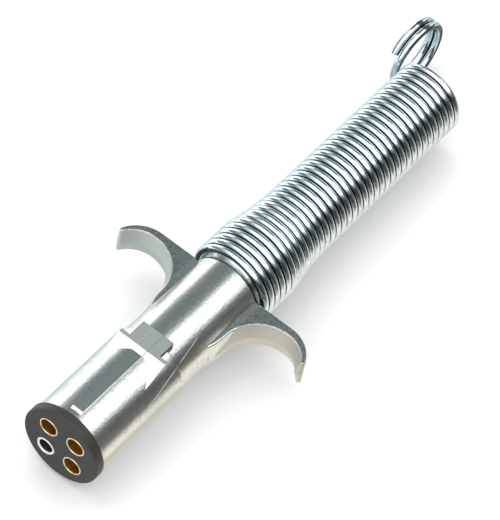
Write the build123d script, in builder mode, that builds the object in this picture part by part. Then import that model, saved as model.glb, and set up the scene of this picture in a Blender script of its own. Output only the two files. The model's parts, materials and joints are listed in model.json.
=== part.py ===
from build123d import *
import os
from math import cos, pi, radians, sin, sqrt

# Four-pole round trailer plug: a die-cast shell with two finger hooks, a moulded insert
# that carries four socket terminals, a cable clamp, and a spring guard round the cable.
# Y runs along the plug from the mating face (y = 0) to the hang loop, X to the side, Z up.

os.makedirs("parts", exist_ok=True)

# ---- driving dimensions, millimetres ----
# running and seating gaps
slide_gap = 0.05          # insert in the nose bore, guard on the neck
turn_gap = 0.03           # a screw in its hole
clear_gap = 0.3           # pieces that pass without touching

# terminals
terminal_offset = 5.1     # each terminal from the plug's axis, sideways and up
sleeve_radius = 3.4
sleeve_proud = 0.2        # stands out of the mating face
live_bore_radius = 2.95
ground_bore_radius = 2.5
socket_depth = 15.0
collar_radius = 3.95
collar_length = 2.0
wire_barrel_length = 12.0
wire_hole_radius = 1.9
wire_hole_depth = 9.5
wire_screw_radius = 1.5
wire_screw_length = 2.6
wire_screw_slot = 0.5     # slot width, wire and plate screws
wire_screw_back = 4.5     # from the terminal's rear end

# insert
flange_length = 3.2
flange_rounding = 0.7
insert_length = 20.0      # mating face to the back plate
spigot_wall = 1.0         # outside the terminal sleeves
key_width = 3.0
key_height = 0.8
key_length = 9.0
plate_thickness = 2.4
plate_screw_radius = 1.25
plate_screw_length = 9.0
plate_screw_head_radius = 2.1
plate_screw_head_height = 1.2
track_start = 11.0        # slot that the retaining screw presses on, open at the back
track_width = 4.6
track_depth = 1.2

# shell: nose, lugs, barrel and neck
nose_wall = 1.6
nose_end = 41.6
nose_bore_length = 37.0   # bore behind the flange, open for the wire barrels
nose_edge = 0.5
barrel_radius = 12.2
barrel_wall = 2.0
barrel_end = 79.8
barrel_rounding = 1.6
groove_width = 0.8
neck_drop = 0.18          # neck surface below the barrel's
neck_floor = 4.3          # wall between the barrel's hollow and its rear face
neck_edge = 1.0
rib_half_width = 1.95
lug_height = 0.74         # rib, ramp, block and insert flange above the nose
rib_start = 4.4
rib_lead = 1.6
ramp_half_width = 8.9
ramp_length = 10.2
ramp_before_end = 5.8     # crest of the ramp ahead of the nose's end
ramp_land = 1.3
ramp_rise = 4.9
block_half_width = 5.8
block_past_end = 2.1
lug_base = 8.0            # lugs and boss reach down into the wall to here

# finger hooks
hook_half_height = 5.2
hook_crown = 1.3          # the palm swells this much at half height
hook_edge = 0.55
hook_root_gap = 0.2       # palm curve from the barrel's side
hook_centre_ahead = 17.9  # palm centre ahead of the barrel's end
hook_radius = 13.6        # palm of the hook
hook_tip_radius = 10.5
hook_back_ahead = 1.45    # straight back ahead of the barrel's end
hook_back_radius = 11.45
hook_back_inset = 0.5     # end of the straight back, inboard of the palm's centre
hook_palm_turn = 29       # degrees of each curve left at the tip
hook_back_turn = 22
hook_root_length = 6.9    # run-out of the palm along the barrel
hook_root_flare = 1.2

# retaining screw under the nose
retainer_y = 14.0
retainer_radius = 2.0
retainer_sink = 0.15
retainer_slot = 0.8

# cable clamp under the barrel
clamp_ahead = 14.3        # boss ahead of the barrel's end
boss_radius = 4.7
boss_height = 2.8         # below the barrel
boss_edge = 0.6
clamp_screw_radius = 2.5
clamp_screw_sink = 0.6
clamp_screw_slot = 1.0
clamp_pin_radius = 1.5
clamp_pin_length = 1.3
saddle_length = 12.0
saddle_half_width = 5.0
saddle_thickness = 1.6
saddle_clearance = 2.0    # below the open saddle, to the barrel's bore
trough_depth = 0.8
cable_radius = 5.0

# rubber grommet in the neck
grommet_lip_length = 2.0
grommet_lip = 1.8         # lip outside the neck bore
grommet_wall = 2.2

# spring guard and hang loop
wire_diameter = 2.65
coil_gap = 0.131          # between neighbouring coils
coil_start_gap = 0.335    # start of the wire from the hooks' backs
wide_turns = 5.0
taper_turns = 7.0
taper_ease = 1.8          # the taper flattens towards its narrow end
narrow_turns = 24.0
coil_taper = 2.195        # narrow coils inside the wide ones, at the centre line
loop_radius = 10.65       # wire centre line
loop_gap = 2.05           # loop's centre line behind the last coil's
loop_drop = 2.1
loop_turn_end = 690       # degrees round the loop, from its nearest point
loop_turn_gap = 0.05      # between the loop's two turns
loop_side_gap = 0.45      # the loop's crown outside the coils
points_per_turn = 8

# ---- sizes that follow ----
terminal_reach = terminal_offset * sqrt(2)
spigot_radius = terminal_reach + sleeve_radius + spigot_wall
nose_bore_radius = spigot_radius + slide_gap
nose_radius = nose_bore_radius + nose_wall
flange_radius = nose_radius + lug_height
lug_top = nose_radius + lug_height
ramp_crest = nose_end - ramp_before_end
ramp_start = ramp_crest - ramp_length
block_end = nose_end + block_past_end
barrel_bore_radius = barrel_radius - barrel_wall
hook_centre_x = barrel_radius + hook_root_gap + hook_radius
hook_centre_y = barrel_end - hook_centre_ahead
hook_back_x = hook_centre_x - hook_back_inset
hook_back = barrel_end - hook_back_ahead
boss_bottom = barrel_radius + boss_height
clamp_y = barrel_end - clamp_ahead
saddle_drop = barrel_bore_radius - saddle_clearance - saddle_thickness
saddle_foot = saddle_drop + saddle_thickness
neck_radius = barrel_radius - neck_drop
neck_bore_radius = cable_radius + grommet_wall
neck_start = barrel_end + groove_width
neck_step = barrel_end - neck_floor
wire_radius = wire_diameter / 2
coil_pitch = wire_diameter + coil_gap
first_crest = hook_back + coil_start_gap + wire_radius + coil_pitch / 2
neck_end = first_crest + coil_pitch * wide_turns - neck_edge
wide_coil_radius = neck_radius + slide_gap + wire_radius
narrow_coil_radius = wide_coil_radius - coil_taper
taper_end = wide_turns + taper_turns
coils_end = taper_end + narrow_turns
loop_ahead = loop_radius + loop_gap
loop_lead = wire_diameter + loop_turn_gap
loop_side = wire_diameter + loop_side_gap
collar_start = insert_length - collar_length
plate_end = insert_length + plate_thickness
terminal_end = plate_end + wire_barrel_length
wire_screw_y = terminal_end - wire_screw_back
track_floor = spigot_radius - track_depth
corner_angles = {
    "left_turn": 135,
    "right_turn": 45,
    "tail_light": -45,
    "ground": -135,
}


def corner(angle):
    """Terminal place in the XZ plane, as (x, z)."""
    return terminal_reach * cos(radians(angle)), terminal_reach * sin(radians(angle))


def turned(points, x=0, z=0):
    """Closed half-profile of (radius, y) points, for turning about a line along Y through (x, z)."""
    with BuildSketch(Plane(origin=(x, 0, z), x_dir=(1, 0, 0), z_dir=(0, 0, 1))) as profile:
        with BuildLine():
            Polyline(*points, close=True)
        make_face()
    return profile.sketch


def facing(y):
    """Sketch plane square to the plug's axis: local x along X, local y along Z, normal towards -Y."""
    return Plane(origin=(0, y, 0), x_dir=(1, 0, 0), z_dir=(0, -1, 0))


def save(piece, name):
    piece.label = name
    export_step(piece, f"parts/{name}.step")


def hook_outline(height, swell):
    """Finger hook seen from above, at one height: palm curve, rounded tip and straight back."""
    palm_radius = hook_radius - swell
    tip_radius = hook_tip_radius - swell
    palm_start = (hook_centre_x - palm_radius, hook_centre_y)
    palm_top = (hook_centre_x, hook_centre_y + palm_radius)
    root = (palm_start[0] - hook_root_flare, hook_centre_y - hook_root_length)
    tip_in = (
        hook_centre_x + tip_radius * cos(radians(hook_palm_turn)),
        palm_top[1] - tip_radius * (1 - sin(radians(hook_palm_turn))),
    )
    tip_out = (
        hook_back_x + hook_back_radius * cos(radians(hook_back_turn)),
        hook_back - hook_back_radius * (1 - sin(radians(hook_back_turn))),
    )
    tip_heading = (sin(radians(hook_back_turn)), -cos(radians(hook_back_turn)))
    back_corner = (hook_back_x, hook_back)
    with BuildSketch(Plane.XY.offset(height)) as outline:
        with BuildLine():
            Polyline(back_corner, (0, back_corner[1]), (0, root[1]), root)
            TangentArc(palm_start, root, tangent=(0, -1))
            RadiusArc(palm_start, palm_top, palm_radius)
            RadiusArc(palm_top, tip_in, tip_radius)
            TangentArc(tip_out, tip_in, tangent=tip_heading)
            RadiusArc(tip_out, back_corner, -hook_back_radius)
        make_face()
    return outline.sketch


# ---- shell ----
with BuildPart() as shell:
    # finger hooks, swollen at half height
    outlines = [hook_outline(-hook_half_height, 0), hook_outline(0, hook_crown)]
    outlines.append(hook_outline(hook_half_height, 0))
    loft([outline.face() for outline in outlines], ruled=True)
    rims = edges().group_by(Axis.Z)
    inboard = hook_centre_x - hook_radius - 2 * hook_crown
    hook_rims = (rims[0] + rims[-1]).filter_by(lambda edge: edge.center().X > inboard)
    fillet(hook_rims, radius=hook_edge)
    mirror(about=Plane.YZ)
    # nose, barrel and neck
    shoulder = (barrel_radius, barrel_end - barrel_rounding)
    waist = (barrel_radius - barrel_rounding, barrel_end)
    with BuildSketch(Plane.XY):
        with BuildLine():
            Polyline(
                (0, flange_length),
                (nose_radius - nose_edge, flange_length),
                (nose_radius, flange_length + nose_edge),
                (nose_radius, nose_end - nose_edge),
                (nose_radius - nose_edge, nose_end),
                (barrel_radius, nose_end),
                shoulder,
            )
            RadiusArc(shoulder, waist, -barrel_rounding)
            Polyline(
                waist,
                (waist[0], neck_start),
                (neck_radius - neck_edge, neck_start),
                (neck_radius, neck_start + neck_edge),
                (neck_radius, neck_end - neck_edge),
                (neck_radius - neck_edge, neck_end),
                (0, neck_end),
                (0, flange_length),
            )
        make_face()
    revolve(axis=Axis.Y)
    # keyed rib, with a lead-in towards the mating face
    with BuildSketch(Plane.YZ):
        with BuildLine():
            Polyline(
                (rib_start, lug_base),
                (rib_start, lug_top - rib_lead),
                (rib_start + rib_lead, lug_top),
                (ramp_crest, lug_top),
                (ramp_crest, lug_base),
                close=True,
            )
        make_face()
    extrude(amount=rib_half_width, both=True)
    # ramp and block that the socket's lid catches behind
    with BuildSketch(Plane.YZ):
        with BuildLine():
            Polyline(
                (ramp_start, lug_base),
                (ramp_start, lug_top - ramp_rise),
                (ramp_crest, lug_top),
                (ramp_crest + ramp_land, lug_top),
                (ramp_crest + ramp_land, lug_base),
                close=True,
            )
        make_face()
    extrude(amount=ramp_half_width, both=True)
    with BuildSketch(Plane.YZ):
        with BuildLine():
            Polyline(
                (ramp_crest, lug_base),
                (ramp_crest, lug_top),
                (block_end, lug_top),
                (block_end, lug_base),
                close=True,
            )
        make_face()
    extrude(amount=block_half_width, both=True)
    # boss for the clamp screw
    with BuildSketch(Plane.XY.offset(-boss_bottom)):
        with Locations((0, clamp_y)):
            Circle(boss_radius)
    extrude(amount=boss_bottom - lug_base)
    chamfer(edges().filter_by(GeomType.CIRCLE).sort_by(Axis.Z)[0], length=boss_edge)
    # hollow: insert bore, wiring space, neck bore
    bore_end = flange_length + nose_bore_length
    bore_step = abs(nose_bore_radius - barrel_bore_radius)
    mouth = neck_bore_radius + neck_edge
    hollow = [
        (0, flange_length),
        (nose_bore_radius, flange_length),
        (nose_bore_radius, bore_end - bore_step),
        (barrel_bore_radius, bore_end),
        (barrel_bore_radius, neck_step),
        (neck_bore_radius, neck_step),
        (neck_bore_radius, neck_end - neck_edge),
        (mouth, neck_end),
        (0, neck_end),
    ]
    revolve(turned(hollow), axis=Axis.Y, mode=Mode.SUBTRACT)
    # keyway for the insert's key
    with BuildSketch(facing(flange_length)):
        with Locations((0, nose_bore_radius)):
            Rectangle(key_width + 2 * slide_gap, 2 * (key_height + slide_gap))
    extrude(amount=-(key_length + clear_gap), mode=Mode.SUBTRACT)
    # screw holes
    with BuildSketch(Plane.XY.offset(-nose_radius)):
        with Locations((0, retainer_y)):
            Circle(retainer_radius + turn_gap)
    extrude(amount=nose_wall + slide_gap + 1, mode=Mode.SUBTRACT)
    with BuildSketch(Plane.XY.offset(-boss_bottom)):
        with Locations((0, clamp_y)):
            Circle(clamp_screw_radius + turn_gap)
    extrude(amount=boss_bottom - lug_base, mode=Mode.SUBTRACT)
save(shell.part, "shell")

# ---- insert ----
with BuildPart() as insert:
    rim = (flange_radius - flange_rounding, 0)
    side = (flange_radius, flange_rounding)
    with BuildSketch(Plane.XY):
        with BuildLine():
            Line((0, 0), rim)
            RadiusArc(rim, side, -flange_rounding)
            Polyline(
                side,
                (flange_radius, flange_length),
                (spigot_radius, flange_length),
                (spigot_radius, insert_length),
                (0, insert_length),
                (0, 0),
            )
        make_face()
    revolve(axis=Axis.Y)
    # key on top of the spigot, sunk into it at its root
    with BuildSketch(facing(flange_length)):
        with Locations((0, nose_bore_radius)):
            Rectangle(key_width, 2 * key_height)
    extrude(amount=-key_length)
    # terminal holes, with seats for the collars at the back
    with BuildSketch(facing(0)):
        with Locations(*[corner(angle) for angle in corner_angles.values()]):
            Circle(sleeve_radius)
    extrude(amount=-insert_length, mode=Mode.SUBTRACT)
    with BuildSketch(facing(insert_length)):
        with Locations(*[corner(angle) for angle in corner_angles.values()]):
            Circle(collar_radius)
    extrude(amount=collar_length, mode=Mode.SUBTRACT)
    # plate screw's hole, and the track of the retaining screw
    with BuildSketch(facing(insert_length)):
        Circle(plate_screw_radius + turn_gap)
    extrude(amount=plate_screw_length - plate_thickness + clear_gap, mode=Mode.SUBTRACT)
    with BuildSketch(facing(insert_length)):
        with Locations((0, -spigot_radius)):
            Rectangle(track_width, 2 * track_depth)
    extrude(amount=insert_length - track_start, mode=Mode.SUBTRACT)
save(insert.part, "insert")

# ---- back plate, which traps the terminals' collars ----
with BuildPart() as back_plate:
    with BuildSketch(facing(plate_end)):
        Circle(spigot_radius)
        with Locations(*[corner(angle) for angle in corner_angles.values()]):
            Circle(sleeve_radius + slide_gap, mode=Mode.SUBTRACT)
        Circle(plate_screw_radius + slide_gap, mode=Mode.SUBTRACT)
        with Locations((0, -spigot_radius)):
            Rectangle(track_width, 2 * track_depth, mode=Mode.SUBTRACT)
    extrude(amount=plate_thickness)
save(back_plate.part, "back_plate")

with BuildPart() as plate_screw:
    with BuildSketch(facing(plate_end)):
        Circle(plate_screw_radius)
    extrude(amount=plate_screw_length)
    with BuildSketch(facing(plate_end + plate_screw_head_height)):
        Circle(plate_screw_head_radius)
    extrude(amount=plate_screw_head_height)
    head_rim = edges().filter_by(GeomType.CIRCLE).sort_by(Axis.Y)[-1]
    fillet(head_rim, radius=plate_screw_head_height / 3)
    with BuildSketch(facing(plate_end + plate_screw_head_height)):
        Rectangle(3 * plate_screw_head_radius, wire_screw_slot)
    extrude(amount=plate_screw_head_height / 2, mode=Mode.SUBTRACT)
save(plate_screw.part, "back_plate_screw")

# ---- terminals and their wire screws ----
for circuit, angle in corner_angles.items():
    x, z = corner(angle)
    outward = (cos(radians(angle)), 0, sin(radians(angle)))
    bore = ground_bore_radius if circuit == "ground" else live_bore_radius
    mouth = (sleeve_radius + bore) / 2
    with BuildPart() as terminal:
        barrel_profile = [
            (0, -sleeve_proud),
            (mouth, -sleeve_proud),
            (sleeve_radius, -sleeve_proud + sleeve_radius - mouth),
            (sleeve_radius, collar_start),
            (collar_radius, collar_start),
            (collar_radius, insert_length),
            (sleeve_radius, insert_length),
            (sleeve_radius, terminal_end),
            (0, terminal_end),
        ]
        socket_profile = [
            (0, -sleeve_proud),
            (mouth, -sleeve_proud),
            (bore, -sleeve_proud + mouth - bore),
            (bore, socket_depth - sleeve_proud),
            (0, socket_depth + bore / 2),
        ]
        wire_hole = [
            (0, terminal_end),
            (wire_hole_radius + wire_screw_slot, terminal_end),
            (wire_hole_radius, terminal_end - wire_screw_slot),
            (wire_hole_radius, terminal_end - wire_hole_depth),
            (0, terminal_end - wire_hole_depth - wire_hole_radius / 2),
        ]
        axis = Axis((x, 0, z), (0, 1, 0))
        revolve(turned(barrel_profile, x, z), axis=axis)
        revolve(turned(socket_profile, x, z), axis=axis, mode=Mode.SUBTRACT)
        revolve(turned(wire_hole, x, z), axis=axis, mode=Mode.SUBTRACT)
        with BuildSketch(Plane(origin=(x, wire_screw_y, z), z_dir=outward)):
            Circle(wire_screw_radius + turn_gap)
        extrude(amount=sleeve_radius + clear_gap, mode=Mode.SUBTRACT)
    save(terminal.part, f"{circuit}_terminal")

    with BuildPart() as wire_screw:
        top = sleeve_radius + clear_gap - slide_gap
        crown = Plane(origin=Vector(x, wire_screw_y, z) + Vector(outward) * top, z_dir=outward)
        with BuildSketch(crown):
            Circle(wire_screw_radius)
        extrude(amount=-wire_screw_length)
        ends = edges().filter_by(GeomType.CIRCLE)
        chamfer(ends, length=turn_gap * 5)
        with BuildSketch(crown):
            Rectangle(3 * wire_screw_radius, wire_screw_slot)
        extrude(amount=-wire_screw_slot, mode=Mode.SUBTRACT)
    save(wire_screw.part, f"{circuit}_wire_screw")

# ---- retaining screw ----
with BuildPart() as retaining_screw:
    with BuildSketch(Plane.XY.offset(-(nose_radius - retainer_sink))):
        with Locations((0, retainer_y)):
            Circle(retainer_radius)
    extrude(amount=nose_radius - retainer_sink - track_floor - slide_gap)
    chamfer(edges().filter_by(GeomType.CIRCLE), length=retainer_sink)
    with BuildSketch(Plane.XY.offset(-nose_radius)):
        with Locations((0, retainer_y)):
            Rectangle(3 * retainer_radius, retainer_slot)
    extrude(amount=retainer_sink + retainer_slot, mode=Mode.SUBTRACT)
save(retaining_screw.part, "insert_retaining_screw")

# ---- cable clamp ----
with BuildPart() as saddle:
    with BuildSketch(Plane.XY.offset(-saddle_foot)):
        with Locations((0, clamp_y)):
            RectangleRounded(2 * saddle_half_width, saddle_length, saddle_thickness / 2)
    extrude(amount=saddle_thickness + trough_depth)
    # trough that the cable lies in
    with BuildSketch(facing(clamp_y)):
        with Locations((0, cable_radius - saddle_drop)):
            Circle(cable_radius)
    extrude(amount=saddle_length, both=True, mode=Mode.SUBTRACT)
    with BuildSketch(Plane.XY.offset(-saddle_foot)):
        with Locations((0, clamp_y)):
            Circle(clamp_pin_radius + turn_gap)
    extrude(amount=clamp_pin_length + slide_gap, mode=Mode.SUBTRACT)
save(saddle.part, "cable_clamp_saddle")

with BuildPart() as clamp_screw:
    screw_end = boss_bottom - clamp_screw_sink
    with BuildSketch(Plane.XY.offset(-screw_end)):
        with Locations((0, clamp_y)):
            Circle(clamp_screw_radius)
    extrude(amount=screw_end - saddle_foot - slide_gap)
    chamfer(edges().filter_by(GeomType.CIRCLE), length=wire_screw_slot / 2)
    with BuildSketch(Plane.XY.offset(-saddle_foot - slide_gap)):
        with Locations((0, clamp_y)):
            Circle(clamp_pin_radius)
    extrude(amount=clamp_pin_length)
    with BuildSketch(Plane.XY.offset(-screw_end)):
        with Locations((0, clamp_y)):
            Rectangle(3 * clamp_screw_radius, clamp_screw_slot)
    extrude(amount=1.5 * clamp_screw_slot, mode=Mode.SUBTRACT)
save(clamp_screw.part, "cable_clamp_screw")

# ---- grommet ----
with BuildPart() as grommet:
    grommet_end = neck_end - 2 * neck_edge
    grommet_profile = [
        (cable_radius + clear_gap, neck_step - grommet_lip_length),
        (neck_bore_radius + grommet_lip, neck_step - grommet_lip_length),
        (neck_bore_radius + grommet_lip, neck_step),
        (neck_bore_radius, neck_step),
        (neck_bore_radius, grommet_end),
        (cable_radius + clear_gap, grommet_end),
        (cable_radius, grommet_end - clear_gap),
        (cable_radius, neck_step - grommet_lip_length + clear_gap),
    ]
    revolve(turned(grommet_profile), axis=Axis.Y)
save(grommet.part, "cable_grommet")


# ---- spring guard ----
def coil_radius(turn):
    """Centre-line radius: wide on the neck, easing down to the narrow coils."""
    share = min(max((turn - wide_turns) / taper_turns, 0), 1)
    return narrow_coil_radius + (wide_coil_radius - narrow_coil_radius) * (1 - share) ** taper_ease


def coil_point(turn):
    """Left-handed coil, counted in turns from its first crest."""
    angle = 2 * pi * turn
    radius = coil_radius(turn)
    return Vector(-radius * sin(angle), first_crest + coil_pitch * turn, radius * cos(angle))


def coil_heading(turn):
    angle = 2 * pi * turn
    round_step = 2 * pi * coil_radius(turn)
    return Vector(-round_step * cos(angle), coil_pitch, -round_step * sin(angle)).normalized()


def coil_turns(first_turn, last_turn):
    count = round((last_turn - first_turn) * points_per_turn)
    return [first_turn + step / points_per_turn for step in range(count + 1)]


def loop_point(degrees_round):
    """Hang loop, counted from its point nearest the coils, down, back, up and forward again."""
    angle = radians(degrees_round)
    side = narrow_coil_radius + loop_side + loop_lead * (degrees_round - 270) / 360
    last_coil = first_crest + coil_pitch * (coils_end + 0.25)
    return Vector(
        -side,
        last_coil + loop_ahead - loop_radius * cos(angle),
        -loop_drop - loop_radius * sin(angle),
    )


def loop_heading(degrees_round):
    angle = radians(degrees_round)
    round_step = 2 * pi * loop_radius
    return Vector(-loop_lead, round_step * sin(angle), -round_step * cos(angle)).normalized()


def coil_stretch(turns, loop_angles=()):
    """Smooth curve through the coil at these turns, then the loop at these angles."""
    points = [coil_point(turn) for turn in turns] + [loop_point(angle) for angle in loop_angles]
    headings = [coil_heading(turn) for turn in turns]
    headings += [loop_heading(angle) for angle in loop_angles]
    return Spline(*points, tangents=headings, tangent_scalars=[1.0] * len(points))


with BuildPart() as spring_guard:
    with BuildLine():
        lead_in = coil_stretch(coil_turns(-0.5, 0))
        wide_coils = Helix(
            pitch=coil_pitch,
            height=coil_pitch * wide_turns,
            radius=wide_coil_radius,
            center=(0, first_crest, 0),
            direction=(0, 1, 0),
            lefthand=True,
        )
        taper_coils = coil_stretch(coil_turns(wide_turns, taper_end))
        narrow_coils = Helix(
            pitch=coil_pitch,
            height=coil_pitch * narrow_turns,
            radius=narrow_coil_radius,
            center=coil_point(taper_end) - Vector(0, 0, narrow_coil_radius),
            direction=(0, 1, 0),
            lefthand=True,
        )
        hang_loop = coil_stretch(
            coil_turns(coils_end, coils_end + 0.25), range(45, loop_turn_end + 1, 15)
        )
    stretches = [lead_in, wide_coils, taper_coils, narrow_coils, hang_loop]
    path = Wire([stretch.edge() for stretch in stretches])
    with BuildSketch(Plane(origin=coil_point(-0.5), z_dir=coil_heading(-0.5))):
        Circle(wire_radius)
    sweep(path=path)
save(spring_guard.part, "spring_guard")
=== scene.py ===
import json
from math import cos, radians, sin

import bpy
import numpy as np
from mathutils import Matrix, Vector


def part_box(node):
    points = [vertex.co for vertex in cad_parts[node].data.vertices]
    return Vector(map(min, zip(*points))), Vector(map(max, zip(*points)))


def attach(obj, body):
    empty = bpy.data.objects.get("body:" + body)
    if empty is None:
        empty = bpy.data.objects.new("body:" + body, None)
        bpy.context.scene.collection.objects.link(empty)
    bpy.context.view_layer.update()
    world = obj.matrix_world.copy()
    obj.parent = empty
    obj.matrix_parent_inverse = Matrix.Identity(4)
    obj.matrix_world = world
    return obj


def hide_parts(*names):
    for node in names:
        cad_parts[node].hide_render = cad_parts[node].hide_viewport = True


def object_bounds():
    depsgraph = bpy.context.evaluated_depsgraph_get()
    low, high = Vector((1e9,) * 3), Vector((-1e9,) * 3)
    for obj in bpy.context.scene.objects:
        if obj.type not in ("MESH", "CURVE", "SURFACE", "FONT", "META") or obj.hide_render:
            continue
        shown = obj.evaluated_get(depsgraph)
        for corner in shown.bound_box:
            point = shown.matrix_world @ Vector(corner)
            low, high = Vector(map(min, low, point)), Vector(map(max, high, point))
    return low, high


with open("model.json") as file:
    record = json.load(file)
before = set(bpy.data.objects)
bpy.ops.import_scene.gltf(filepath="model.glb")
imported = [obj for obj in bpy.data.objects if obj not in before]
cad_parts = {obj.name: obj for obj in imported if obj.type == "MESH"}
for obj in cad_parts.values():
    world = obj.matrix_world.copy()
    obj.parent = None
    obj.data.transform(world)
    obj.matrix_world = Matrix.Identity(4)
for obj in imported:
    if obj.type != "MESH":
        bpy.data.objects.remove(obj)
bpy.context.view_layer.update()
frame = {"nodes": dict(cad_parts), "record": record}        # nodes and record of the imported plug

mm = 0.001


# ---- shader nodes ----
class Signal:  # a number that varies over the surface; arithmetic on it adds Math nodes
    def __init__(self, finish, socket):
        self.finish, self.socket = finish, socket

    def maths(self, operation, first, second=0.0):
        return self.finish.node("ShaderNodeMath", {"operation": operation}, {0: first, 1: second})

    def __add__(self, other):
        return self.maths("ADD", self, other)

    def __sub__(self, other):
        return self.maths("SUBTRACT", self, other)

    def __rsub__(self, other):
        return self.maths("SUBTRACT", other, self)

    def __mul__(self, other):
        return self.maths("MULTIPLY", self, other)

    def __truediv__(self, other):
        return self.maths("DIVIDE", self, other)

    def __pow__(self, other):
        return self.maths("POWER", self, other)

    def __abs__(self):
        return self.maths("ABSOLUTE", self)

    def line(self, low, high):  # 0 below low, 1 above high, straight between
        return self.finish.node("ShaderNodeMapRange", {}, {0: self, 1: low, 2: high})

    def sine(self):
        return self.maths("SINE", self)

    def fade(self, low, high):  # 0 below low, 1 above high, smooth between
        settings = {"interpolation_type": "SMOOTHSTEP"}
        return self.finish.node("ShaderNodeMapRange", settings, {0: self, 1: low, 2: high})

    __radd__ = __add__
    __rmul__ = __mul__


class Shading:  # the nodes of a material or a world
    def __init__(self, owner):
        owner.use_nodes = True
        self.tree = owner.node_tree

    def node(self, kind, settings, inputs, output=0):
        made = self.tree.nodes.new(kind)
        for key, value in settings.items():
            setattr(made, key, value)
        for key, value in inputs.items():
            self.feed(made.inputs[key], value)
        return Signal(self, made.outputs[output])

    def feed(self, socket, value):
        if isinstance(value, Signal):
            self.tree.links.new(value.socket, socket)
        else:
            socket.default_value = value

    def coordinates(self, which="Object"):
        return self.node("ShaderNodeTexCoord", {}, {}, which)

    def stretched(self, vector, scale):
        return self.node("ShaderNodeMapping", {}, {"Vector": vector, "Scale": scale})

    def noise(self, vector, grain, detail=3.0, rough=0.5):  # grain: blob size in mm
        inputs = {"Vector": vector, "Scale": 1 / (grain * mm), "Detail": detail, "Roughness": rough}
        return self.node("ShaderNodeTexNoise", {}, inputs)

    def split(self, vector):
        return [self.node("ShaderNodeSeparateXYZ", {}, {0: vector}, axis) for axis in "XYZ"]

    def blend(self, factor, first, second):
        inputs = {0: factor, 6: first, 7: second}
        return self.node("ShaderNodeMix", {"data_type": "RGBA"}, inputs, 2)

    def bump(self, height, distance):  # distance: height in mm where the signal is 1
        inputs = {"Height": height, "Distance": distance * mm, "Strength": 1.0}
        return self.node("ShaderNodeBump", {}, inputs)


class Finish(Shading):  # one material, with its Principled shader
    def __init__(self, name, **constants):
        self.material = bpy.data.materials.new(name)
        super().__init__(self.material)
        self.shader = self.tree.nodes["Principled BSDF"]
        for socket, value in constants.items():
            self.shader.inputs[socket.replace("_", " ")].default_value = value

    def drive(self, **signals):
        for socket, value in signals.items():
            self.feed(self.shader.inputs[socket.replace("_", " ")], value)
        return self.material


zincSettings = {
    "polished": (0.80, 0.80, 0.775, 1),
    "cloudy": (0.62, 0.65, 0.64, 1),
    "palm": (0.66, 0.65, 0.60, 1),
    "hookTop": (0.27, 0.31, 0.33, 1),
    "barrelSide": 12.9,       # mm from the axis, beyond it are the finger hooks
    "rib": (0.66, 0.70, 0.70, 1),
    "block": (0.66, 0.71, 0.67, 1),
    "lugTop": 13.7,           # mm above the axis, flat tops of the rib and the block
    "blockStart": 35.8,       # mm along the plug, the block's flat top behind the rib's
    "crossStart": 33.4,       # mm along the plug, where the ramp is ground across the rib
    "ribHalfWidth": 1.95,     # mm
    "crossRise": 1.15,        # mm, how much it would rise to the block
    "bumpHeight": 0.09,       # mm
}


def zincCasting():
    # polished die-cast zinc: slow waves and grit bend its reflections, fine pits grey them,
    # hook palms are as cast and matte, hook tops and the block's top satin
    s = zincSettings
    f = Finish("zincCasting", Metallic=1.0)
    place = f.coordinates()
    x, y, z = f.split(place)
    nx, ny, nz = f.split(f.coordinates("Normal"))
    cloud = f.noise(place, 9.0, 2.0)
    pits = f.noise(place, 0.42, 4.0, 0.65)
    grit = f.noise(place, 1.0, 3.0, 0.6)
    waves = f.noise(f.stretched(place, (1, 0.35, 1)), 4.5, 2.0, 0.45)
    streaks = f.noise(f.stretched(place, (1, 0.07, 1)), 0.5, 3.0)
    onHook = abs(x).fade(s["barrelSide"] * mm, (s["barrelSide"] + 0.4) * mm)
    level = abs(nz).fade(0.75, 0.95)
    palm = onHook * (1 - level)
    hookTop = onHook * level
    lugTop = z.fade((s["lugTop"] - 0.1) * mm, s["lugTop"] * mm) * level
    block = lugTop * y.fade((s["blockStart"] - 0.1) * mm, (s["blockStart"] + 0.1) * mm)
    colour = f.blend((cloud * 0.5 + grit * 0.5).fade(0.4, 0.65), s["polished"], s["cloudy"])
    colour = f.blend(palm, colour, s["palm"])
    colour = f.blend(hookTop * pits.fade(0.3, 0.7), colour, s["hookTop"])
    colour = f.blend(lugTop * pits.fade(0.35, 0.6), colour, s["rib"])
    colour = f.blend(block, colour, s["block"])
    rough = 0.05 + cloud * 0.04 + pits * 0.07 + streaks * 0.03
    rough = rough + palm * 0.30 + hookTop * 0.10 + lugTop * 0.06 + block * 0.22
    height = waves * 0.5 + grit * 0.5 + pits * (0.42 + palm * 1.6) + streaks * 0.15
    # the crossing is flat in the mesh, so a steady rise in the bump tilts its shading
    onRib = 1 - abs(x).fade((s["ribHalfWidth"] - 0.05) * mm, (s["ribHalfWidth"] + 0.05) * mm)
    rise = y.line(s["crossStart"] * mm, s["blockStart"] * mm) * (s["crossRise"] / s["bumpHeight"])
    height = height + lugTop * onRib * rise
    return f.drive(Base_Color=colour, Roughness=rough, Normal=f.bump(height, s["bumpHeight"]))


springSettings = {
    "bright": (0.78, 0.85, 0.90, 1),
    "worn": (0.60, 0.68, 0.75, 1),
    # painted shade between neighbouring coils
    "paintedGapShade": (0.07, 0.075, 0.085, 1),
    "wireRadius": 1.325,      # mm
}


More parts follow.
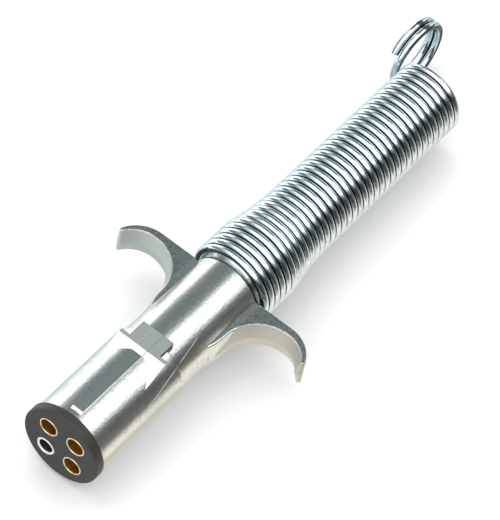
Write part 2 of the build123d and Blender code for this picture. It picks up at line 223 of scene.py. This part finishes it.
def springWire():
    # zinc-plated spring wire: drawing lines run along it, the plating is a little cloudy,
    # and painted shade darkens the sides that face the next coil, where the coils shade each other
    f = Finish("springWire", Metallic=1.0)
    place = f.coordinates()
    along = f.stretched(f.coordinates("UV"), (0.02, 1, 1))
    lines = f.noise(along, 0.35, 3.0)
    cloud = f.noise(place, 3.0, 3.0)
    specks = f.noise(place, 0.3, 3.0, 0.6)
    aroundWire = f.split(f.coordinates("UV"))[1]
    # how far the surface turns towards a neighbouring coil: sine of the angle round the wire
    turned = abs((aroundWire / (springSettings["wireRadius"] * mm)).sine())
    colour = f.blend(cloud.fade(0.4, 0.75), springSettings["bright"], springSettings["worn"])
    # painted shade: the wire turns dark where it faces the next coil
    colour = f.blend((turned + lines * 0.06).fade(0.76, 0.92), colour, springSettings["paintedGapShade"])
    rough = 0.03 + lines * 0.05 + specks * 0.03
    return f.drive(Base_Color=colour, Roughness=rough, Normal=f.bump(lines * 0.6 + specks * 0.4, 0.006))


plasticSettings = {"insert": (0.030, 0.028, 0.026, 1), "plate": (0.05, 0.045, 0.04, 1)}


def mouldedPlastic(name, base, roughness):
    # moulded plastic: fine satin grain with faint lighter clouds and a few rubbed specks
    f = Finish(name, Specular_IOR_Level=0.45)
    place = f.coordinates()
    cloud = f.noise(place, 6.0, 3.0)
    grain = f.noise(place, 0.22, 3.0, 0.6)
    specks = f.noise(place, 0.5, 2.0).fade(0.66, 0.74)
    pale = tuple(min(1.0, part * 1.5 + 0.02) for part in base[:3]) + (1,)
    colour = f.blend(cloud * 0.35 + specks * 0.4, base, pale)
    return f.drive(Base_Color=colour, Roughness=roughness + cloud * 0.12 + grain * 0.1,
                   Normal=f.bump(grain, 0.012))


def rubber():
    # soft black rubber with a dusty bloom
    f = Finish("rubber")
    place = f.coordinates()
    bloom = f.noise(place, 3.0, 4.0)
    grain = f.noise(place, 0.3, 3.0)
    colour = f.blend(bloom.fade(0.4, 0.8), (0.018, 0.018, 0.019, 1), (0.05, 0.05, 0.048, 1))
    return f.drive(Base_Color=colour, Roughness=0.6 + grain * 0.2, Normal=f.bump(grain, 0.02))


terminalSettings = {
    # each finish's rim colour and rim dullness make a painted highlight on the front-facing rim
    "brass": {
        "bright": (0.97, 0.70, 0.27, 1), "dull": (0.88, 0.56, 0.18, 1),
        "rim": (0.96, 0.78, 0.50, 1), "rimDullness": 0.5, "roughness": 0.22,
    },
    "tinnedBrass": {
        "bright": (0.42, 0.40, 0.37, 1), "dull": (0.28, 0.26, 0.24, 1),
        "rim": (0.95, 0.95, 0.94, 1), "rimDullness": 0.85, "roughness": 0.3,
    },
    "ringSpacing": 0.18,      # mm between turning rings
}


def turnedMetal(name):
    # metal turned on a lathe: fine rings across the plug's axis, tarnish in soft clouds,
    # and a painted highlight that leaves the front-facing rim pale and less mirror-like
    s = terminalSettings[name]
    f = Finish(name)
    place = f.coordinates()
    rings = f.noise(f.stretched(place, (0.05, 1, 0.05)), terminalSettings["ringSpacing"], 2.0)
    tarnish = f.noise(place, 1.6, 4.0, 0.6)
    # painted highlight: surfaces facing the front are painted pale and less metallic
    frontHighlight = (0 - f.split(f.coordinates("Normal"))[1]).fade(0.3, 0.8)
    colour = f.blend(frontHighlight, f.blend(tarnish.fade(0.4, 0.75), s["bright"], s["dull"]), s["rim"])
    rough = s["roughness"] + rings * 0.12 + tarnish * 0.1
    return f.drive(Base_Color=colour, Metallic=1 - frontHighlight * s["rimDullness"], Roughness=rough,
                   Normal=f.bump(rings, 0.008))


def platedSteel(name):
    # zinc-plated steel: pale with a trace of blue and yellow from the passivating bath
    f = Finish(name, Metallic=1.0)
    place = f.coordinates()
    tint = f.noise(place, 2.5, 3.0)
    scratches = f.noise(f.stretched(place, (1, 0.1, 1)), 0.3, 3.0)
    colour = f.blend(tint.fade(0.35, 0.7), (0.62, 0.66, 0.70, 1), (0.76, 0.74, 0.64, 1))
    rough = 0.24 + tint * 0.1 + scratches * 0.1
    return f.drive(Base_Color=colour, Roughness=rough, Normal=f.bump(scratches, 0.008))


print("materials")
finishes = {
    "zinc_casting": zincCasting(),
    "spring_wire": springWire(),
    "insert_plastic": mouldedPlastic("insertPlastic", plasticSettings["insert"], 0.36),
    "plate_plastic": mouldedPlastic("platePlastic", plasticSettings["plate"], 0.5),
    "grommet_rubber": rubber(),
    "brass_terminal": turnedMetal("brass"),
    "tinned_terminal": turnedMetal("tinnedBrass"),
    "plated_screw": platedSteel("platedScrew"),
    "plated_saddle": platedSteel("platedSaddle"),
}
for part in frame["record"]["subparts"]:
    node = frame["nodes"][part["node"]]
    for holder in node.material_slots:
        holder.material = finishes[part["material_slot"]]


# ---- surfaces ----
def surface(name, grid, slot, body, uv=None, roundClosed=True, capped=True):
    # a grid of points, rows along the piece and columns round it, skinned with quads;
    # a closed round joins last column to first, caps join an end row to its middle point
    rows, columns = grid.shape[:2]
    index = np.arange(rows * columns).reshape(rows, columns)
    after = np.roll(index, -1, axis=1) if roundClosed else index[:, 1:]
    before = index if roundClosed else index[:, :-1]
    quads = np.stack([before[:-1], after[:-1], after[1:], before[1:]], axis=-1).reshape(-1, 4)
    points = grid.reshape(-1, 3)
    faces = quads.tolist()
    if capped:
        points = np.vstack([points, grid[0].mean(0), grid[-1].mean(0)])
        first, last = rows * columns, rows * columns + 1
        faces += np.stack([after[0], before[0], np.full_like(before[0], first)], axis=-1).tolist()
        faces += np.stack([before[-1], after[-1], np.full_like(before[-1], last)], axis=-1).tolist()
    mesh = bpy.data.meshes.new(name)
    mesh.from_pydata(points, [], faces)
    if uv is not None:
        layer = mesh.uv_layers.new(name="along")
        corners = np.zeros(len(mesh.loops), dtype=np.int32)
        mesh.loops.foreach_get("vertex_index", corners)
        flat = np.vstack([uv.reshape(-1, 2), uv[0, :1], uv[-1, :1]]) if capped else uv.reshape(-1, 2)
        layer.data.foreach_set("uv", flat[corners].astype(np.float32).ravel())
    mesh.shade_smooth()
    mesh.set_sharp_from_angle(angle=radians(40))
    piece = bpy.data.objects.new(name, mesh)
    bpy.context.scene.collection.objects.link(piece)
    mesh.materials.append(finishes[slot])
    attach(piece, body)
    return piece


def unit(vectors):
    return vectors / np.linalg.norm(vectors, axis=-1, keepdims=True)


# ---- spring guard ----
guard = {
    "wireDiameter": 2.65,
    "coilGap": 0.131,         # between neighbouring coils
    "wideTurns": 5.0,
    "taperTurns": 7.0,
    "taperEase": 1.8,
    "narrowTurns": 24.0,
    "coilTaper": 2.195,       # narrow coils inside the wide ones
    "loopRadius": 10.65,
    "loopGap": 2.05,          # loop's centre line behind the last coil's
    "loopDrop": 2.1,
    "loopTurnEnd": 690,
    "loopTurnGap": 0.05,
    "loopSideGap": 0.45,
    "stepsPerTurn": 44,
    "wireSides": 18,
    "endEdge": 0.25,          # rounding of the cut ends
}


def springGuard():
    # wire carried along a left-handed coil that narrows, then along a double hang loop
    g = guard
    low, high = (np.array(corner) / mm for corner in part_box("spring_guard"))
    wire = g["wireDiameter"] / 2
    pitch = g["wireDiameter"] + g["coilGap"]
    crest = low[1] + wire + pitch / 2
    wide = high[0] - wire
    narrow = wide - g["coilTaper"]
    taperEnd = g["wideTurns"] + g["taperTurns"]
    coilsEnd = taperEnd + g["narrowTurns"] + 0.25
    turns = np.linspace(-0.5, coilsEnd, round((coilsEnd + 0.5) * g["stepsPerTurn"]) + 1)
    # radius: wide, then an eased fall to narrow; place: round the axis once per turn, one pitch on
    share = np.clip((turns - g["wideTurns"]) / g["taperTurns"], 0, 1)
    radius = narrow + (wide - narrow) * (1 - share) ** g["taperEase"]
    angle = 2 * np.pi * turns
    coils = np.stack([-radius * np.sin(angle), crest + pitch * turns, radius * np.cos(angle)], axis=-1)
    # loop: a circle in the YZ plane that steps sideways by one wire for each turn
    loopAngle = np.radians(np.arange(45, g["loopTurnEnd"] + 1, 5.0))
    side = narrow + g["wireDiameter"] + g["loopSideGap"]
    side = side + (g["wireDiameter"] + g["loopTurnGap"]) * (loopAngle / (2 * np.pi) - 0.75)
    ahead = crest + pitch * coilsEnd + g["loopRadius"] + g["loopGap"]
    loopY = ahead - g["loopRadius"] * np.cos(loopAngle)
    loopZ = -g["loopDrop"] - g["loopRadius"] * np.sin(loopAngle)
    loop = np.stack([-side, loopY, loopZ], axis=-1)
    # the joining stretch: a cubic that leaves the coil and meets the loop along their headings
    leave, meet = unit(coils[-1] - coils[-2]), unit(loop[1] - loop[0])
    span = np.linalg.norm(loop[0] - coils[-1])
    t = np.linspace(0, 1, 12)[1:-1, None]
    joining = (2 * t**3 - 3 * t**2 + 1) * coils[-1] + (t**3 - 2 * t**2 + t) * span * leave
    joining = joining + (3 * t**2 - 2 * t**3) * loop[0] + (t**3 - t**2) * span * meet
    path = np.vstack([coils, joining, loop])
    # side vectors square to the path: from the plug's axis on the coils, from the X axis on the loop
    heading = unit(np.gradient(path, axis=0))
    turned = np.concatenate([np.zeros(len(coils)), t[:, 0], np.ones(len(loop))])[:, None]
    reference = unit((1 - turned) * np.array([0, 1, 0]) + turned * np.array([1, 0, 0]))
    outward = unit(np.cross(heading, reference))
    across = np.cross(outward, heading)
    # rounded cut ends: the end rows repeat, drawn in
    edge = g["endEdge"]
    inset = path[:1] + heading[:1] * edge, path[-1:] - heading[-1:] * edge
    path = np.vstack([path[:1], inset[0], path[1:-1], inset[1], path[-1:]])
    outward = np.vstack([outward[:1], outward, outward[-1:]])
    across = np.vstack([across[:1], across, across[-1:]])
    size = np.full(len(path), wire)
    size[[0, -1]] = wire - edge
    aroundWire = np.linspace(0, 2 * np.pi, g["wireSides"], endpoint=False)
    cosine, sine = np.cos(aroundWire)[None, :, None], np.sin(aroundWire)[None, :, None]
    ring = outward[:, None] * cosine + across[:, None] * sine
    grid = path[:, None] + ring * size[:, None, None]
    length = np.concatenate([[0], np.cumsum(np.linalg.norm(np.diff(path, axis=0), axis=1))])
    uv = np.stack(np.broadcast_arrays(length[:, None] * mm, aroundWire[None] * wire * mm), axis=-1)
    piece = surface("spring_guard_wire", grid * mm, "spring_wire", "spring_guard_body", uv)
    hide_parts("spring_guard")


# ---- fine lines of the casting ----
flash = {
    "height": 0.07,
    "width": 0.26,
    # start and end of each line in mm along the plug and degrees from the top, then the radius in mm
    "lines": [((23.5, 68.0), (41.2, 50.0), 13.26), ((43.0, 51.5), (54.0, 41.0), 12.2)],
}


def flashLine(name, start, end, radius):
    # a low ridge laid on a cylinder: an ellipse carried along a slanting line, thinning at its ends
    along = np.linspace(0, 1, 60)
    y = start[0] + (end[0] - start[0]) * along
    angle = np.radians(start[1] + (end[1] - start[1]) * along)
    size = np.clip(1 - np.abs(2 * along - 1) ** 6, 0.02, 1)
    section = np.linspace(0, 2 * np.pi, 12, endpoint=False)
    rise = radius + flash["height"] * size[:, None] * np.sin(section)
    sideways = angle[:, None] + flash["width"] / 2 / radius * size[:, None] * np.cos(section)
    grid = np.stack(np.broadcast_arrays(rise * np.sin(sideways), y[:, None], rise * np.cos(sideways)), axis=-1)
    surface(name, grid[:, ::-1] * mm, "zinc_casting", "shell_body")


print("pieces")
springGuard()
for number, (start, end, radius) in enumerate(flash["lines"], 1):
    flashLine(f"flash_line_{number}", start, end, radius)

# ---- stage ----
stage = {
    "azimuth": 28.266,        # camera, degrees
    "elevation": 53.579,
    "roll": 12.78,
    "distance": 1.410644,
    "aimAlong": 0.100,        # aim point along the plug, then shifted across the view
    "shift": (-0.005795, -0.003483),
    "lens": 318.34,
    "sensor": 36.0,
}


def placeCamera():
    # back points from the plug to the camera; right and up are turned about it by the roll
    azimuth, elevation, roll = (radians(stage[key]) for key in ("azimuth", "elevation", "roll"))
    back = np.array([sin(azimuth) * cos(elevation), -cos(azimuth) * cos(elevation), sin(elevation)])
    level = np.array([cos(azimuth), sin(azimuth), 0])
    upright = np.cross(back, level)
    right = cos(roll) * level + sin(roll) * upright
    up = -sin(roll) * level + cos(roll) * upright
    aim = np.array([0, stage["aimAlong"], 0]) + stage["shift"][0] * right + stage["shift"][1] * up
    pose = np.eye(4)
    pose[:3] = np.stack([right, up, back, aim + stage["distance"] * back], axis=-1)
    data = bpy.data.cameras.new("camera")
    data.lens, data.sensor_width = stage["lens"], stage["sensor"]
    data.clip_end = 50
    camera = bpy.data.objects.new("camera", data)
    bpy.context.scene.collection.objects.link(camera)
    camera.matrix_world = Matrix(pose.tolist())
    bpy.context.scene.camera = camera


room = {
    # what polished metal mirrors, by turn about the plug's axis: degrees from overhead towards the
    # right side, brightness, tint. Across the plug: two long soft boxes, dim ceiling, dark right side
    "across": [
        (-180, 0.60, "cool"), (-100, 1.0, "plain"), (-70, 1.0, "plain"), (-61, 0.26, "cool"),
        (-48, 0.17, "cool"), (-30, 0.14, "cool"), (-12, 0.17, "cool"), (0, 0.24, "cool"),
        (9, 0.95, "plain"), (44, 1.0, "plain"), (52, 0.26, "cool"), (62, 0.13, "blue"),
        (74, 0.075, "blue"), (86, 0.10, "warm"), (100, 0.11, "warm"), (180, 0.60, "warm"),
    ],
    # towards the mating face: bright overhead, dim to both sides
    "front": [
        (-180, 0.45, "cool"), (-110, 0.16, "cool"), (-72, 0.14, "cool"), (-50, 0.50, "cool"),
        (-28, 1.0, "plain"), (44, 1.0, "plain"), (54, 0.22, "cool"), (64, 0.035, "blue"),
        (102, 0.03, "blue"), (125, 0.55, "blue"), (180, 0.60, "blue"),
    ],
    # slanting towards the tail: a dark gap between the soft boxes
    "gap": [
        (-180, 0.20, "cool"), (-60, 0.07, "cool"), (60, 0.07, "blue"), (64, 0.03, "blue"),
        (102, 0.03, "blue"), (125, 0.45, "blue"), (180, 0.60, "blue"),
    ],
    # towards the tail: a pale blue glow overhead
    "tail": [
        (-180, 0.30, "cool"), (-100, 0.30, "cool"), (-60, 0.45, "cool"), (-28, 0.62, "blue"),
        (44, 0.66, "blue"), (60, 0.05, "blue"), (102, 0.04, "blue"), (140, 0.60, "blue"),
        (180, 0.60, "plain"),
    ],
    "frontFade": (0.10, 0.34),
    "gapFade": (0.60, 0.67),
    "tailFade": (0.87, 0.92),
    "strength": 1.7,
    # painted reflection of the white paper, with painted shade, as metal mirrors it: mm to the side, brightness,
    # tint
    "paper": [
        (-200, 0.80, "plain"), (-86, 0.76, "plain"), (-50, 0.60, "cool"), (-34, 0.47, "cool"),
        (-18, 0.38, "cool"), (2, 0.38, "cool"), (13, 0.47, "warm"), (25, 0.58, "warm"),
        (38, 0.62, "warm"), (48, 0.52, "warm"), (72, 0.19, "warm"), (105, 0.12, "warm"),
        (200, 0.10, "warm"),
    ],
    "floorHalf": 6.0,         # metres
    "tints": {"plain": (1, 1, 1), "cool": (0.84, 1, 1), "blue": (0.86, 0.95, 1), "warm": (1, 0.97, 0.89)},
    "sheet": (0.93, 0.93, 0.925, 1),     # colour of the sheet under the plug
    "plain": (0.95, 0.95, 0.95, 1),      # what the camera and dull surfaces see
    "plainStrength": 1.26,
}


def bandRamp(finish, position, stops, low, high):
    # colour by position between low and high, one stop for each band edge
    made = finish.node("ShaderNodeMapRange", {}, {0: position, 1: low, 2: high})
    ramp = finish.node("ShaderNodeValToRGB", {}, {0: made})
    elements = ramp.socket.node.color_ramp.elements
    while len(elements) < len(stops):
        elements.new(1.0)
    for element, (place, brightness, tint) in zip(elements, stops):
        element.position = (place - stops[0][0]) / (stops[-1][0] - stops[0][0])
        element.color = [brightness * part for part in room["tints"][tint]] + [1]
    return ramp


def plainFloor():
    # a wide white sheet at the plug's lowest point; for glossy rays it glows with a painted reflection, a soft
    # fall of light with painted shade
    half, height = room["floorHalf"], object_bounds()[0].z
    mesh = bpy.data.meshes.new("floor")
    corners = [(x * half, y * half, height) for x, y in ((-1, -1), (1, -1), (1, 1), (-1, 1))]
    mesh.from_pydata(corners, [], [(0, 1, 2, 3)])
    floor = bpy.data.objects.new("floor", mesh)
    bpy.context.scene.collection.objects.link(floor)
    paper = Finish("whitePaper", Base_Color=room["sheet"], Roughness=0.9, Specular_IOR_Level=0.0)
    edge = room["paper"][-1][0] * mm
    x = paper.split(paper.coordinates())[0]
    # painted reflection: glossy rays see the sheet glow, darker where painted shade falls
    mirrored = paper.node("ShaderNodeEmission", {}, {
        "Color": bandRamp(paper, x, room["paper"], -edge, edge), "Strength": room["strength"]})
    glossy = paper.node("ShaderNodeLightPath", {}, {}, "Is Glossy Ray")
    shown = Signal(paper, paper.shader.outputs[0])
    both = paper.node("ShaderNodeMixShader", {}, {0: glossy, 1: shown, 2: mirrored})
    paper.feed(paper.tree.nodes["Material Output"].inputs["Surface"], both)
    mesh.materials.append(paper.material)


def roomLight():
    # world: bands of light turned about the plug's axis for polished metal, plain grey for the rest
    world = bpy.data.worlds.new("room")
    bpy.context.scene.world = world
    air = Shading(world)
    x, y, z = air.split(air.coordinates("Generated"))
    turn = air.node("ShaderNodeMath", {"operation": "ARCTAN2"}, {0: x, 1: z})
    bands = bandRamp(air, turn, room["front"], -np.pi, np.pi)
    for fade, name in (("frontFade", "across"), ("gapFade", "gap"), ("tailFade", "tail")):
        bands = air.blend(y.fade(*room[fade]), bands, bandRamp(air, turn, room[name], -np.pi, np.pi))
    mirrored = air.node("ShaderNodeBackground", {}, {"Color": bands, "Strength": room["strength"]})
    plain = air.node("ShaderNodeBackground", {}, {
        "Color": room["plain"], "Strength": room["plainStrength"]})
    glossy = air.node("ShaderNodeLightPath", {}, {}, "Is Glossy Ray")
    both = air.node("ShaderNodeMixShader", {}, {0: glossy, 1: plain, 2: mirrored})
    air.feed(air.tree.nodes["World Output"].inputs["Surface"], both)


softBox = {"place": (-0.75, 0.35, 1.25), "aim": (0.0, 0.10, 0.0), "size": 1.1, "power": 5}


def overheadBox():
    # one large soft light from the upper left; it shades the paper, and metal mirrors the room instead
    data = bpy.data.lights.new("softBox", "AREA")
    data.shape, data.size, data.energy = "SQUARE", softBox["size"], softBox["power"]
    lamp = bpy.data.objects.new("softBox", data)
    bpy.context.scene.collection.objects.link(lamp)
    back = unit(np.array(softBox["place"]) - np.array(softBox["aim"]))
    right = unit(np.cross([0, 1, 0], back))
    pose = np.eye(4)
    pose[:3] = np.stack([right, np.cross(back, right), back, softBox["place"]], axis=-1)
    lamp.matrix_world = Matrix(pose.tolist())
    lamp.visible_glossy = False


print("stage")
placeCamera()
plainFloor()
roomLight()
overheadBox()
bpy.context.scene.view_settings.view_transform = "Standard"
bpy.context.scene.view_settings.look = "None"
